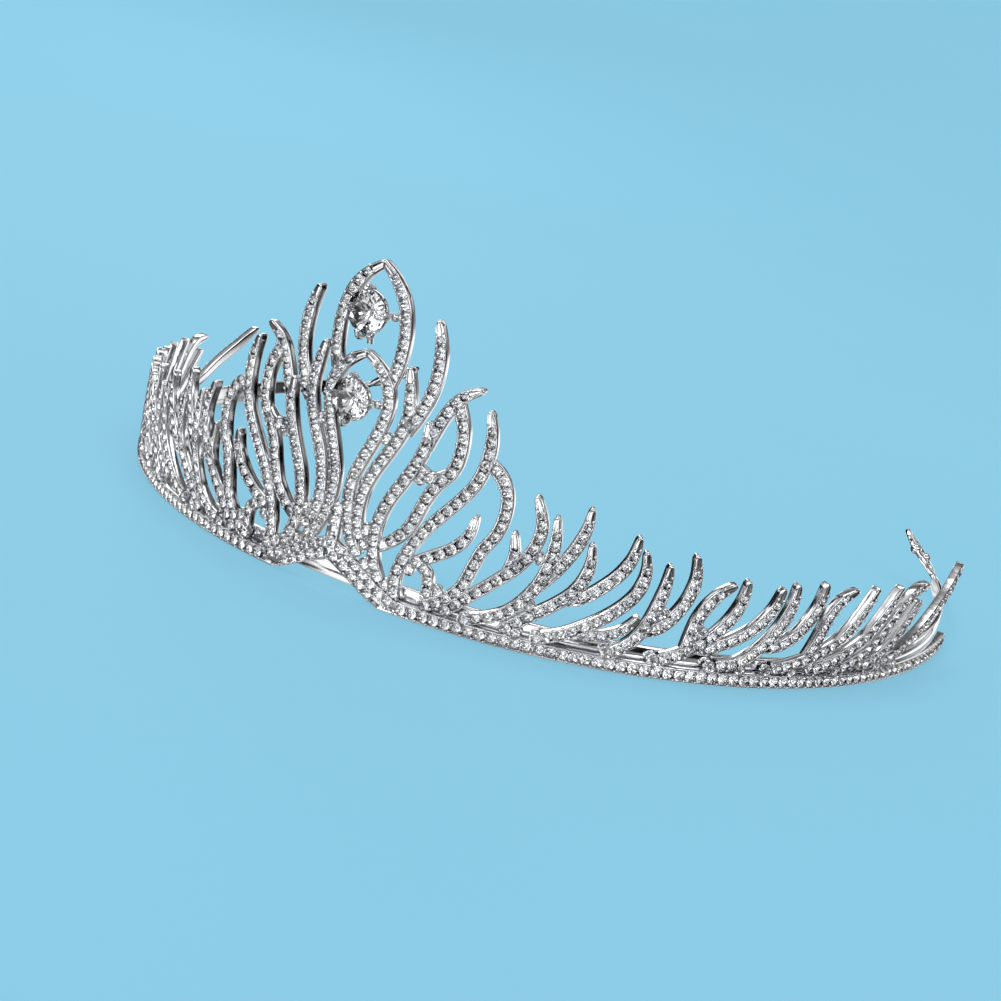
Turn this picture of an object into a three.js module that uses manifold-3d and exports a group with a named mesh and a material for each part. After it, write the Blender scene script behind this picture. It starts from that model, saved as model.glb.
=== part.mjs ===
// Bridal tiara: an openwork frieze of curved blades on a stone-set base rail, with a pointed crest that
// frames two large round stones, and a flat headband behind it that ends in two pointed eyelets.
// Millimetres, +Z up, +Y towards the back of the head. The underside of the rail lies at z = 0, and the
// origin is the middle of the whole piece seen from above.
import * as THREE from "three";
import { mergeVertices } from "three/addons/utils/BufferGeometryUtils.js";
import Module from "manifold-3d";

const wasm = await Module();
wasm.setup();

// ---------------------------------------------------------------- driving dimensions

// The frieze stands on a plan curve of three arcs on each side, joined at a tangent.
const FRONT_RADIUS = 105;
const FRONT_LENGTH = 16;
const SIDE_RADIUS = 77.5;
const SIDE_LENGTH = 110;
const TAIL_RADIUS = 107;

const CREST_HEIGHT = 54.8;
const STEM_HEIGHT = 40.6;
const RAIL_HEIGHT = 2.3;
const RAIL_END = 135;
const ARCH_FOOT = 13.4;
const ARCH_TOP = 9.1;
const ARCH_UNDERSIDE = 5.0;

const STRAND_WIDTH = 2.1;
const STRAND_THICKNESS = 1.5;
const TIP_WIDTH = 0.8;
const TIP_LENGTH = 5.5;
const APEX_WIDTH = 1.2;
const GAP = 0.3;

const BAND_THICKNESS = 0.9;
const BAND_HEIGHT = 3.0;
const BAND_LIFT = 1.5;
const BAND_END = 167;

const EYELET_LENGTH = 13.5;
const EYELET_WIDTH = 6.6;
const EYELET_WIRE = 1.1;
const EYELET_BEAD = 1.0;
const EYELET_RISE = 29.5;
const EYELET_TURN = 55;
const EYELET_TWIST = 30;
const EYELET_STANDOFF = 2.0;
const EYELET_NECK = [1.8, 3.0];

const STONE_RADIUS = 3.4;
const STONE_DEPTH = 3.8;
const STONE_FORWARD = 3.8;
const UPPER_STONE_HEIGHT = 46.2;
const LOWER_STONE_HEIGHT = 32.2;

// ---------------------------------------------------------------- materials

const chrome = new THREE.MeshStandardMaterial({ color: 0xc9ccd0, metalness: 1.0, roughness: 0.16 });
const pave = new THREE.MeshStandardMaterial({ color: 0xdadde2, metalness: 0.9, roughness: 0.22 });
const crystal = new THREE.MeshStandardMaterial({ color: 0xf2f5f7, metalness: 0.0, roughness: 0.03 });

// ---------------------------------------------------------------- the curved wall

// Adds an arc of the given length and radius to a pen that holds a place and a heading.
function advance(pen, length, radius) {
  const turned = pen.heading + length / radius;
  return {
    x: pen.x + radius * (Math.sin(turned) - Math.sin(pen.heading)),
    y: pen.y + radius * (Math.cos(pen.heading) - Math.cos(turned)),
    heading: turned,
  };
}

// The place on the plan curve at arc length s from the front centre (s < 0 is the -X side).
function planPlace(s) {
  const reach = Math.abs(s);
  const front = Math.min(reach, FRONT_LENGTH);
  const side = Math.min(Math.max(reach - FRONT_LENGTH, 0), SIDE_LENGTH);
  const tail = Math.max(reach - FRONT_LENGTH - SIDE_LENGTH, 0);
  let pen = { x: 0, y: 0, heading: 0 };
  pen = advance(pen, front, FRONT_RADIUS);
  pen = advance(pen, side, SIDE_RADIUS);
  return advance(pen, tail, TAIL_RADIUS);
}

// A point of the wall: arc length s, height h, and distance out from the back of the frieze.
function wallPoint(s, h, out) {
  const pen = planPlace(s);
  const hand = s < 0 ? -1 : 1;
  return new THREE.Vector3(
    hand * (pen.x + out * Math.sin(pen.heading)),
    pen.y - out * Math.cos(pen.heading),
    h,
  );
}

// ---------------------------------------------------------------- solids

function toSolid(geometry) {
  const bare = geometry.index ? geometry.toNonIndexed() : geometry.clone();
  bare.deleteAttribute("normal");
  bare.deleteAttribute("uv");
  const welded = mergeVertices(bare, 1e-4);
  const vertProperties = new Float32Array(welded.attributes.position.array);
  const triVerts = new Uint32Array(welded.index.array);
  return new wasm.Manifold(new wasm.Mesh({ numProp: 3, vertProperties, triVerts }));
}

function toGeometry(solid) {
  const { vertProperties, triVerts } = solid.getMesh();
  const geometry = new THREE.BufferGeometry();
  geometry.setAttribute("position", new THREE.BufferAttribute(vertProperties, 3));
  geometry.setIndex(new THREE.BufferAttribute(triVerts, 1));
  geometry.computeVertexNormals();
  return geometry;
}

const join = (solids) => solids.reduce((sum, solid) => sum.add(solid));
const cut = (solid, cutters) => cutters.reduce((rest, cutter) => rest.subtract(cutter), solid);

// A four-sided bar through a row of stations, each station being four corners in order.
function barThrough(stations) {
  const positions = stations.flat().flatMap((corner) => corner.toArray());
  const index = [];
  const quad = (a, b, c, d) => index.push(a, c, b, a, d, c);
  const last = (stations.length - 1) * 4;
  for (let base = 0; base < last; base += 4) {
    for (let side = 0; side < 4; side += 1) {
      const next = (side + 1) % 4;
      quad(base + side, base + next, base + 4 + next, base + 4 + side);
    }
  }
  quad(3, 2, 1, 0);
  quad(last, last + 1, last + 2, last + 3);
  const geometry = new THREE.BufferGeometry();
  geometry.setAttribute("position", new THREE.Float32BufferAttribute(positions, 3));
  geometry.setIndex(index);
  return toSolid(geometry);
}

// ---------------------------------------------------------------- strands

// A strand is a row of [s, h] points from root to end. A blade narrows to a tip at its end, a bar keeps
// its width, and an arm starts narrow where it meets its mirror image in a point.
const blade = (points, width = STRAND_WIDTH) => ({ points, width, root: width, tip: TIP_WIDTH });
const bar = (points, width = STRAND_WIDTH) => ({ points, width, root: width, tip: width });
const arm = (points, width = STRAND_WIDTH) => ({ points, width, root: APEX_WIDTH, tip: width });

// The distance between the stations of a strand.
const STATION_STEP = 2.4;

const mirrored = (strand) => ({ ...strand, points: strand.points.map(([s, h]) => [-s, h]) });

// The width at a distance from a narrow end.
const widening = (end, full, distance) =>
  end + (full - end) * Math.sqrt(Math.min(distance / TIP_LENGTH, 1));

// The strand as a solid on the wall. With grow above 0 it is the room that its neighbours leave free.
function strandSolid(strand, grow = 0) {
  const knots = strand.points.map(([s, h]) => new THREE.Vector3(s, h, 0));
  const line = new THREE.CatmullRomCurve3(knots, false, "centripetal");
  const length = line.getLength();
  const steps = Math.max(2, Math.round(length / STATION_STEP));
  const stations = [];
  for (let step = 0; step <= steps; step += 1) {
    const along = step / steps;
    const centre = line.getPointAt(along);
    const tangent = line.getTangentAt(along);
    const width = Math.min(
      widening(strand.root, strand.width, length * along),
      widening(strand.tip, strand.width, length * (1 - along)),
    );
    const half = width / 2 + grow;
    const lengthen = grow * ((step === steps) - (step === 0));
    const s = centre.x + tangent.x * lengthen;
    const h = centre.y + tangent.y * lengthen;
    const corner = (side, out) =>
      wallPoint(s - side * tangent.y * half, h + side * tangent.x * half, out);
    const back = -grow;
    const front = STRAND_THICKNESS + grow;
    stations.push([corner(1, back), corner(-1, back), corner(-1, front), corner(1, front)]);
  }
  return barThrough(stations);
}

// ---------------------------------------------------------------- the frieze, +X half

const crestLoop = arm([[-0.7, CREST_HEIGHT - 0.5], [2.7, 51.6], [4.9, 48.3], [5.9, 44.6], [6.0, 41.4],
  [5.7, 38.4], [5.0, 35.8]]);
const stemLoop = arm([[-0.7, STEM_HEIGHT - 0.7], [2.2, 38.2], [4.1, 36.3], [5.3, 33.6], [5.3, 30.6],
  [4.3, 26.9], [2.8, 23.0], [1.7, 19.4], [1.6, 15.6], [2.2, 12.4], [3.3, 9.8], [4.9, 7.2]]);
// Fills the fork between the two feet of the stem, down to the arch.
const stemWeb = bar([[0, 14.6], [0, 8.7]], 2.4);

const pieces = {
  plume_1: [
    blade([[5.0, 9.6], [4.2, 11.6], [3.8, 14.2], [4.1, 18.2], [5.3, 21.8], [7.0, 25.3], [8.5, 28.8],
      [9.1, 31.8], [8.8, 35.0], [7.9, 39.4]]),
    blade([[9.3, 29.2], [10.8, 32.2], [11.9, 35.3], [12.5, 38.8], [12.3, 43.0], [11.0, 47.6]]),
  ],
  plume_2: [
    blade([[9.6, 4.4], [8.1, 7.4], [7.4, 10.9], [7.6, 14.2], [8.7, 17.9], [10.4, 21.4], [12.0, 24.9],
      [12.9, 28.4], [12.8, 32.0]]),
    blade([[13.0, 27.8], [14.1, 31.2], [15.4, 34.4], [17.3, 37.2], [20.3, 39.1]]),
    bar([[16.8, 36.0], [18.4, 32.4], [18.7, 28.7], [18.0, 25.3], [16.1, 22.7], [14.7, 19.8], [13.8, 16.9],
      [12.6, 14.1], [10.6, 11.7], [8.3, 10.0]]),
    bar([[17.4, 24.7], [15.0, 23.4], [12.0, 24.4]]),
  ],
  plume_3: [
    blade([[12.6, 2.9], [12.3, 6.0], [13.0, 9.5], [14.3, 12.6], [16.0, 15.6], [18.0, 18.4], [20.2, 21.4],
      [22.1, 24.7], [23.0, 28.3], [23.0, 32.2], [22.0, 36.3]]),
    bar([[22.8, 28.6], [25.4, 27.0], [27.2, 24.2], [27.5, 21.0], [26.8, 17.6], [25.2, 14.6], [24.2, 11.3],
      [23.2, 7.9], [21.3, 5.4], [18.8, 3.6], [17.4, 2.9]]),
  ],
  sprig: [
    blade([[14.7, 9.3], [17.5, 11.2], [20.5, 13.4], [22.5, 16.0], [23.3, 19.7]]),
    bar([[15.5, 9.7], [17.5, 8.1], [17.9, 5.7], [17.8, 4.6]], 1.8),
  ],
  flame_1: [
    blade([[20.9, 2.9], [25.1, 7.1], [28.3, 10.4], [31.3, 13.8], [33.0, 17.3], [33.4, 20.7],
      [31.7, 25.4]]),
    blade([[29.7, 12.0], [30.2, 14.8], [29.5, 18.9]]),
  ],
  flame_2: [
    blade([[25.7, 3.3], [28.3, 4.3], [31.1, 6.1], [33.3, 8.9], [34.9, 12.0], [35.7, 15.2], [35.9, 18.7],
      [35.4, 22.9]]),
    blade([[34.1, 10.4], [36.1, 13.0], [37.9, 16.0], [39.3, 19.1], [40.1, 22.1], [40.2, 25.4]]),
  ],
  flame_3: [
    blade([[30.8, 2.8], [34.7, 6.3], [37.5, 8.6], [39.9, 11.1], [41.3, 13.8], [41.8, 16.6],
      [41.4, 19.9]]),
    blade([[39.5, 9.9], [42.1, 11.2], [44.5, 13.4], [46.6, 16.0], [47.9, 18.9], [48.3, 22.5]]),
  ],
  flame_4: [
    blade([[37.1, 3.2], [39.7, 4.3], [42.3, 5.9], [45.3, 8.1], [48.1, 10.8], [49.9, 13.6], [50.5, 16.6],
      [49.8, 20.3]]),
    blade([[42.3, 4.9], [45.9, 5.5], [48.9, 7.0], [51.1, 9.7]], 1.8),
  ],
  flame_5: [
    blade([[48.3, 3.2], [50.5, 5.1], [52.3, 7.9], [53.4, 11.6], [54.0, 15.2], [54.0, 18.9]]),
    blade([[52.1, 7.1], [54.9, 8.7], [56.9, 11.4], [58.1, 14.2], [58.5, 17.3], [57.7, 21.1]]),
  ],
  flame_6: [
    blade([[56.0, 3.3], [58.8, 4.5], [61.4, 6.2], [64.0, 8.6], [66.0, 11.5], [67.1, 14.5], [67.4, 18.0]]),
    blade([[59.6, 5.4], [59.9, 8.0], [60.4, 10.7], [61.6, 13.3], [63.2, 15.4], [65.4, 17.1]]),
  ],
  flame_7: [blade([[62.6, 5.7], [68.0, 8.3], [70.8, 10.4], [72.9, 13.3], [74.0, 17.3]])],
  flame_8: [
    blade([[65.6, 3.3], [68.6, 3.9], [71.2, 5.6], [73.6, 8.2], [75.4, 11.1], [76.4, 14.3], [76.5, 18.1]]),
    blade([[72.8, 7.0], [75.6, 7.4], [78.0, 8.8], [80.2, 11.3], [81.7, 14.5], [82.2, 18.5]]),
  ],
  flame_9: [
    blade([[75.9, 3.3], [79.7, 4.3], [83.9, 5.8], [87.5, 7.8], [90.3, 10.3], [92.5, 13.5], [94.6, 17.5]]),
    blade([[81.9, 4.8], [82.9, 7.2], [83.8, 9.8], [84.7, 12.9], [86.5, 15.5], [89.5, 17.3]]),
  ],
  flame_10: [blade([[84.2, 3.3], [87.8, 4.6], [91.8, 6.6], [95.5, 9.2], [98.6, 12.9], [101.5, 17.3]])],
  flame_11: [
    blade([[90.7, 3.3], [94.7, 5.2], [98.3, 7.8], [101.0, 10.7], [103.5, 13.7], [106.9, 16.0],
      [111.1, 16.7]]),
  ],
  flame_12: [blade([[96.3, 3.3], [100.1, 4.8], [103.5, 7.4], [106.7, 10.5], [109.7, 13.9]])],
  flame_13: [
    blade([[101.5, 3.3], [106.5, 4.9], [112.3, 7.2], [118.3, 10.3], [124.9, 13.6], [130.8, 17.2]]),
  ],
};

// ---------------------------------------------------------------- rails, arch and headband

// A level strip that follows the wall from one arc length to another.
function levelStrip(from, to, bottom, top, back, front, step) {
  const steps = Math.ceil(Math.abs(to - from) / step);
  const stations = [];
  for (let index = 0; index <= steps; index += 1) {
    const s = from + ((to - from) * index) / steps;
    stations.push([
      wallPoint(s, top, back),
      wallPoint(s, bottom, back),
      wallPoint(s, bottom, front),
      wallPoint(s, top, front),
    ]);
  }
  return barThrough(stations);
}

const RAIL_STEP = 5.6;

const railSolid = (hand, grow = 0) => {
  const ends = [ARCH_FOOT + GAP / 2 - grow, RAIL_END + grow];
  const [from, to] = hand > 0 ? ends : [-ends[1], -ends[0]];
  return levelStrip(from, to, -grow, RAIL_HEIGHT + grow, -grow, STRAND_THICKNESS + grow, RAIL_STEP);
};

// The front arch is a chevron with slightly hollow flanks that runs down into the two rails.
function archSolid(grow = 0) {
  const flank = [
    [0, ARCH_UNDERSIDE, ARCH_TOP],
    [3.4, 3.4, 7.6],
    [7.0, 1.5, 5.4],
    [10.4, 0, 3.5],
    [ARCH_FOOT - GAP / 2, 0, RAIL_HEIGHT],
  ];
  const rows = [...flank.slice(1).reverse().map(([s, low, high]) => [-s, low, high]), ...flank];
  const last = rows.length - 1;
  const stations = rows.map(([s, low, high], index) => {
    const place = s + grow * ((index === last) - (index === 0));
    return [
      wallPoint(place, high + grow, -grow),
      wallPoint(place, low - grow, -grow),
      wallPoint(place, low - grow, STRAND_THICKNESS + grow),
      wallPoint(place, high + grow, STRAND_THICKNESS + grow),
    ];
  });
  return barThrough(stations);
}

const BAND_FRONT = -GAP;
const BAND_BACK = BAND_FRONT - BAND_THICKNESS;
const BAND_STEP = 6.4;
const BAND_ROOF = BAND_LIFT + BAND_HEIGHT;
const bandSolid = levelStrip(-BAND_END, BAND_END, BAND_LIFT, BAND_ROOF, BAND_BACK, BAND_FRONT, BAND_STEP);

// ---------------------------------------------------------------- stones and settings

// Lathe shapes turn about Y, which is the way the stones face: a level above 0 is further forward.
const latheSolid = (profile, segments) => {
  const points = profile.map(([radius, level]) => new THREE.Vector2(radius, level));
  return toSolid(new THREE.LatheGeometry(points, segments).rotateX(Math.PI));
};

// A round brilliant with a flat table. Its girdle lies at level 0.
const stoneSolid = () => latheSolid([
  [0, -STONE_DEPTH * 0.62],
  [STONE_RADIUS, 0],
  [STONE_RADIUS, 0.25],
  [STONE_RADIUS * 0.5, STONE_DEPTH * 0.36],
  [0, STONE_DEPTH * 0.36],
], 16);

const CUP_RADIUS = 3.5;
const CUP_BACK = -3.0;
const CUP_FRONT = -0.6;
const PRONG_WIDTH = 0.8;
const PRONG_INNER = STONE_RADIUS + GAP;
const PRONG_OUTER = PRONG_INNER + 0.5;

// An open cup behind the stone with four prongs that stand outside its edge and hook over it. Each stalk
// runs from the cup in the given direction, in degrees from straight up, to a reach measured from the
// axis of the stone.
function settingSolid(stalks) {
  const cup = latheSolid([
    [1.2, CUP_BACK],
    [1.9, CUP_BACK],
    [CUP_RADIUS, CUP_FRONT - 0.4],
    [CUP_RADIUS, CUP_FRONT],
    [CUP_RADIUS - 0.3, CUP_FRONT],
    [1.2, CUP_FRONT - 1.4],
    [1.2, CUP_BACK],
  ], 20);
  const radialBox = (degrees, from, to, width, backLevel, frontLevel) => toSolid(
    new THREE.BoxGeometry(width, frontLevel - backLevel, to - from)
      .translate(0, -(frontLevel + backLevel) / 2, (to + from) / 2)
      .rotateY(THREE.MathUtils.degToRad(degrees)));
  const prongs = [0, 90, 180, 270].flatMap((degrees) => [
    radialBox(degrees, CUP_RADIUS - 0.3, PRONG_OUTER, PRONG_WIDTH, CUP_FRONT - 0.4, CUP_FRONT),
    radialBox(degrees, PRONG_INNER, PRONG_OUTER, PRONG_WIDTH, CUP_FRONT - 0.4, 1.7),
    radialBox(degrees, STONE_RADIUS - 0.7, PRONG_OUTER, PRONG_WIDTH, 1.15, 1.75),
  ]);
  const rods = stalks.map(([degrees, reach]) =>
    radialBox(degrees, 1.6, reach, 1.0, CUP_BACK, CUP_BACK + 0.9));
  return join([cup, ...prongs, ...rods]);
}

// ---------------------------------------------------------------- eyelets

// A pointed ring in its own flat plane: it starts at the origin and its tip lies at (0, length).
function eyeletRing() {
  const pointed = (halfWidth, from, to) => {
    const shape = new THREE.Shape();
    shape.moveTo(0, from);
    shape.quadraticCurveTo(2 * halfWidth, (from + to) / 2, 0, to);
    shape.quadraticCurveTo(-2 * halfWidth, (from + to) / 2, 0, from);
    return shape;
  };
  const outline = pointed(EYELET_WIDTH / 2, 0, EYELET_LENGTH);
  // The strip is longer across a pointed end than across a flank.
  const point = EYELET_WIRE * 1.8;
  outline.holes.push(pointed(EYELET_WIDTH / 2 - EYELET_WIRE, point, EYELET_LENGTH - point));
  const strip = { depth: EYELET_WIRE, bevelEnabled: false, curveSegments: 8 };
  const ring = new THREE.ExtrudeGeometry(outline, strip);
  const [neckWidth, neckLength] = EYELET_NECK;
  const neck = new THREE.BoxGeometry(neckWidth, neckLength, EYELET_WIRE)
    .translate(0, 0.2, EYELET_WIRE / 2);
  const beads = [-1, 1].map((side) =>
    new THREE.SphereGeometry(EYELET_BEAD, 10, 8).translate(
      side * (EYELET_WIDTH / 2 - EYELET_WIRE / 2), EYELET_LENGTH / 2, EYELET_WIRE / 2));
  return join([ring, neck, ...beads].map(toSolid));
}

// ---------------------------------------------------------------- assembly

const assembly = new THREE.Group();

function addPiece(name, solid, material, parent = assembly) {
  const mesh = new THREE.Mesh(toGeometry(solid), material);
  mesh.name = name;
  parent.add(mesh);
  return mesh;
}

const bothHands = (strand) => [strand, mirrored(strand)];
const grown = (strands) => strands.map((strand) => strandSolid(strand, GAP));
const plain = (strands) => strands.map((strand) => strandSolid(strand));

const archRoom = archSolid(GAP);
const stemStrands = bothHands(stemLoop);
const stemSolids = plain([...stemStrands, stemWeb]);
const crestStrands = bothHands(crestLoop);
addPiece("center_arch", archSolid(), pave);
addPiece("crest_stem", cut(join(stemSolids), [archRoom]), pave);
addPiece("crest_loop", cut(join(plain(crestStrands)), grown(stemStrands)), pave);

// A piece leaves room for the rail, the arch, the crest and the two pieces before it on its own side.
for (const [hand, side] of [[1, "right"], [-1, "left"]]) {
  addPiece(`base_rail_${side}`, railSolid(hand), pave);
  const railRoom = railSolid(hand, GAP);
  const rooms = [[...grown(stemStrands), ...grown(crestStrands)]];
  for (const [name, strands] of Object.entries(pieces)) {
    const placed = hand > 0 ? strands : strands.map(mirrored);
    const cutters = [archRoom, railRoom, ...rooms.slice(-2).flat()];
    addPiece(`${name}_${side}`, cut(join(plain(placed)), cutters), pave);
    rooms.push(grown(placed));
  }
}

addPiece("headband", bandSolid, chrome);

const LOOP_REACH = 4.1;
const stones = [
  ["upper", UPPER_STONE_HEIGHT, [[90, LOOP_REACH], [270, LOOP_REACH], [180, 5.0]]],
  ["lower", LOWER_STONE_HEIGHT, [[90, 3.9], [270, 3.9]]],
];
for (const [name, height, stalks] of stones) {
  const place = new THREE.Group();
  place.position.set(0, -STONE_FORWARD, height);
  addPiece(`${name}_stone`, stoneSolid(), crystal, place);
  addPiece(`${name}_setting`, settingSolid(stalks), chrome, place);
  assembly.add(place);
}

const bandMiddle = [(BAND_LIFT + BAND_ROOF) / 2, (BAND_FRONT + BAND_BACK) / 2];
const [eyeletRise, eyeletTurn, eyeletTwist] =
  [EYELET_RISE, EYELET_TURN, EYELET_TWIST].map(THREE.MathUtils.degToRad);
for (const [hand, side] of [[1, "right"], [-1, "left"]]) {
  const place = new THREE.Group();
  place.position.copy(wallPoint(hand * (BAND_END + EYELET_STANDOFF), ...bandMiddle));
  place.rotation.set(eyeletRise, hand * eyeletTwist, hand * eyeletTurn, "ZXY");
  addPiece(`eyelet_${side}`, eyeletRing(), chrome, place);
  assembly.add(place);
}

// The origin is the middle of the outer box in plan, on the plane that the rail stands on.
const outerBox = new THREE.Box3().setFromObject(assembly, true);
assembly.position.y = -outerBox.getCenter(new THREE.Vector3()).y;
const tiara = new THREE.Group().add(assembly);

export default tiara;
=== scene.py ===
import math
import random

import bpy
import numpy as np
from mathutils import Matrix, Vector


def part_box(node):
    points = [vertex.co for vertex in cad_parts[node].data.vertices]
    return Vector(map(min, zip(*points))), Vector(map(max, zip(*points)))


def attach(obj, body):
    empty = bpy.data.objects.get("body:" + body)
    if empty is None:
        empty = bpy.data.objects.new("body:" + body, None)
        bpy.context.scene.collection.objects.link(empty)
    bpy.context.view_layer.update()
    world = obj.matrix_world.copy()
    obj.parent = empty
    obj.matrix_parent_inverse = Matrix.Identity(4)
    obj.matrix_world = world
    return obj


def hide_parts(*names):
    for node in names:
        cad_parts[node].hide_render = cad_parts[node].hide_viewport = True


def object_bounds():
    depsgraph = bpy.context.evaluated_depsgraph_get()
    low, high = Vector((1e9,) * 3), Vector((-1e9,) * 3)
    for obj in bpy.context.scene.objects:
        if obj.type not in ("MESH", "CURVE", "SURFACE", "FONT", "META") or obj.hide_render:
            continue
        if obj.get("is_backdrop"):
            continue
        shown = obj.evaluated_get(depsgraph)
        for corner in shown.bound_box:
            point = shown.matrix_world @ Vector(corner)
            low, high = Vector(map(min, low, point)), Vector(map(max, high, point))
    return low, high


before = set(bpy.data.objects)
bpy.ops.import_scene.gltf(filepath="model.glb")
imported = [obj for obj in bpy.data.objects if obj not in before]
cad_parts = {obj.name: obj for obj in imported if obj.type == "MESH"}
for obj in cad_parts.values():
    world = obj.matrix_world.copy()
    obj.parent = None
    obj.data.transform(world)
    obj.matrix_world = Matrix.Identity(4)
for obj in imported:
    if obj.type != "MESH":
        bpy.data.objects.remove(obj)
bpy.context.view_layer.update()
MM = 0.001

# ------------------------------------------------------------------ driving dimensions, in millimetres

FRONT_RADIUS, FRONT_LENGTH = 105.0, 16.0
SIDE_RADIUS, SIDE_LENGTH = 77.5, 110.0
TAIL_RADIUS = 107.0
CREST_HEIGHT, STEM_HEIGHT = 54.8, 40.6
RAIL_HEIGHT, RAIL_END = 2.3, 135.0
ARCH_FOOT, ARCH_TOP, ARCH_UNDERSIDE = 13.4, 9.1, 5.0
STRAND_WIDTH, STRAND_THICKNESS = 2.1, 1.5
TIP_WIDTH, TIP_LENGTH, APEX_WIDTH = 0.8, 5.5, 1.2
BAND_THICKNESS, BAND_HEIGHT, BAND_LIFT, BAND_END = 0.9, 3.0, 1.5, 167.0
BAND_FRONT, BAND_EDGE, BAND_TAPER = -0.3, 0.3, 4.0
EYELET_LENGTH, EYELET_WIDTH, EYELET_WIRE, EYELET_BEAD = 13.5, 6.6, 1.1, 1.1
EYELET_RISE, EYELET_TURN, EYELET_TWIST, EYELET_STANDOFF = 29.5, 55.0, 30.0, 2.0
STONE_RADIUS, STONE_DEPTH, STONE_FORWARD = 3.4, 3.8, 3.8
CROWN_SHARE, PAVILION_SHARE = 0.36, 0.62
CUP_BACK, CUP_RADIUS = -3.0, 3.5
FLOOR_LEVEL = -0.4

# The small stones: radius, the pitch of a plain row, the least pitch of an even row, the least distance
# between the middles of any two stones of rows, and how far each may tilt, in degrees.
SMALL_STONE = 0.94
STONE_PITCH, LEAST_PITCH, STONE_GAP = 1.89, 1.84, 1.72
STONE_LEAN = 5.0
# Where an even row starts and stops: from a plain end, from the apex of an arm, and from the tip of a blade.
END_MARGIN, APEX_MARGIN, TIP_MARGIN = 0.7, 4.2, 2.9
# Length of the plain tip and of the plain apex, and the length over which the channel opens after it.
PLAIN_TIP, PLAIN_APEX, CHANNEL_RAMP = 2.5, 3.3, 0.5
CHANNEL = 0.85
# Bead prongs: radius, distance from the rim and from the last stone of a row, and the least distance to a
# stone and to another bead. Stones further apart than BEAD_REACH have no bead between them.
BEAD, BEAD_INSET, BEAD_END = 0.27, 0.27, 0.95
BEAD_TO_STONE, BEAD_TO_BEAD, BEAD_REACH = 0.92, 0.40, 2.5
# Stones on bosses in narrow forks: the largest sum of the distances to the two strands, the largest distance
# to the second one, the least distance to another stone, and the stone's share of the full size.
FORK_SUM, FORK_SECOND, FORK_TO_STONE, FORK_SIZE = 3.3, 1.85, 1.66, 0.92
# The boss under such a stone, as (radius, height above the frieze's back).
BOSS = [(0.62, 0.0), (0.98, 0.10), (1.06, 0.30), (1.06, 1.18),
        (1.0, 1.34), (0.88, 1.38), (0.74, 1.20), (0.4, 0.9)]
# Steps of a rounded end, each as a share of the half width.
ROUND_END = (0.0, 0.45, 0.75, 0.93)
# The strap from the band's end to the eyelet: place along the eyelet, then width and depth as shares of the
# band's section.
STRAP = [(-1.7, 0.80, 0.95), (-1.2, 0.86, 1.0), (0.2, 0.86, 1.0), (0.7, 0.66, 1.0), (2.0, 0.42, 0.9)]

# The front centre of the frieze's back face, found from the upper stone's table.
WALL_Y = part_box("upper_stone")[0].y / MM + STONE_FORWARD + STONE_DEPTH * CROWN_SHARE

# ------------------------------------------------------------------ the curved wall


def advance(x, y, heading, length, radius):
    """The place and heading after an arc of the plan curve."""
    after = heading + length / radius
    return (x + radius * (np.sin(after) - np.sin(heading)),
            y + radius * (np.cos(heading) - np.cos(after)), after)


def wall(s, h, out):
    """Points of the wall in metres: arc length s from the front centre, height h, distance out, in mm."""
    s, h, out = np.broadcast_arrays(*[np.asarray(v, float) for v in (s, h, out)])
    reach, hand = np.abs(s), np.where(s < 0, -1.0, 1.0)
    x, y, heading = advance(0.0, 0.0, 0.0, np.minimum(reach, FRONT_LENGTH), FRONT_RADIUS)
    x, y, heading = advance(x, y, heading, np.clip(reach - FRONT_LENGTH, 0, SIDE_LENGTH), SIDE_RADIUS)
    x, y, heading = advance(x, y, heading, np.maximum(reach - FRONT_LENGTH - SIDE_LENGTH, 0), TAIL_RADIUS)
    spot = [hand * (x + out * np.sin(heading)), WALL_Y + y - out * np.cos(heading), h]
    return np.stack(spot, axis=-1) * MM


def spline(points, step):
    """A centripetal Catmull-Rom line through [s, h] points, resampled at an even step."""
    p = np.array(points, float)
    p = np.vstack([2 * p[0] - p[1], p, 2 * p[-1] - p[-2]])
    line = []
    for a, b, c, d in zip(p, p[1:], p[2:], p[3:]):
        ta, tb, tc = (max(np.linalg.norm(v) ** 0.5, 1e-4) for v in (b - a, c - b, d - c))
        start = ((b - a) / ta - (c - a) / (ta + tb) + (c - b) / tb) * tb
        end = ((c - b) / tb - (d - b) / (tb + tc) + (d - c) / tc) * tb
        t = np.linspace(0, 1, 24, endpoint=False)[:, None]
        line.append(b + start * t + (-3 * b + 3 * c - 2 * start - end) * t**2
                    + (2 * b - 2 * c + start + end) * t**3)
    line = np.vstack([*line, p[-2:-1]])
    run = np.concatenate([[0], np.cumsum(np.linalg.norm(np.diff(line, axis=0), axis=1))])
    count = max(4, int(round(run[-1] / step)))
    even = np.linspace(0, run[-1], count + 1)
    return np.stack([np.interp(even, run, line[:, k]) for k in (0, 1)], axis=1), even


# ------------------------------------------------------------------ strands: [s, h] points from root to tip


def blade(points, width=STRAND_WIDTH):
    """A strand with a narrow plain tip."""
    return {"points": points, "width": width, "root": width, "tip": TIP_WIDTH}


def bar(points, width=STRAND_WIDTH):
    """A strand of one width from end to end."""
    return {"points": points, "width": width, "root": width, "tip": width}


def arm(points, width=STRAND_WIDTH):
    """Half of a pointed loop, from its narrow plain apex to its foot."""
    return {"points": points, "width": width, "root": APEX_WIDTH, "tip": width}


def is_blade(strand):
    """Whether a strand has a plain tip."""
    return strand["tip"] < strand["width"]


def is_arm(strand):
    """Whether a strand starts at the apex of a loop."""
    return strand["root"] < strand["width"]


def mirrored(strand):
    return {**strand, "points": [[-s, h] for s, h in strand["points"]]}


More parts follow.
